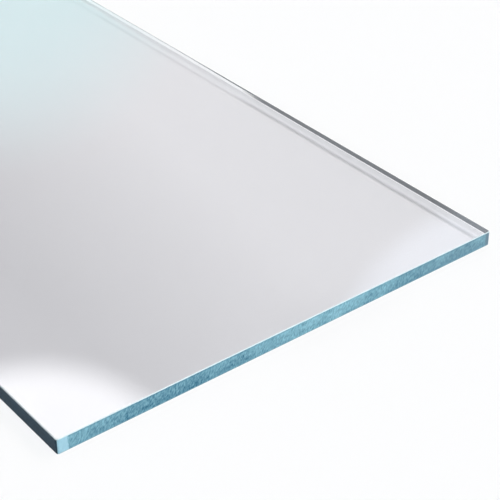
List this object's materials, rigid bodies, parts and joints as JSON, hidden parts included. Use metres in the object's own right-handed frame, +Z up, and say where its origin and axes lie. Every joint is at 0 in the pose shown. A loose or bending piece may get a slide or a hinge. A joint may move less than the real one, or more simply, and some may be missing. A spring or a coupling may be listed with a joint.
{
  "type": "clear solid polycarbonate sheet",
  "caption": "Flat clear polycarbonate panel with glossy faces and sawn, arris-scraped edges, for glazing, guards and covers.",
  "frame": {"origin": "middle of the underside, which lies on the floor", "axes": "+Z up through the thickness, +Y along the length (direction of extrusion), +X across the width"},
  "size_m": [0.25, 0.5, 0.008],
  "materials": {
    "polycarbonate": "gloss"
  },
  "bodies": {
    "root": {"sheet": "polycarbonate"}
  },
  "joints": []
}
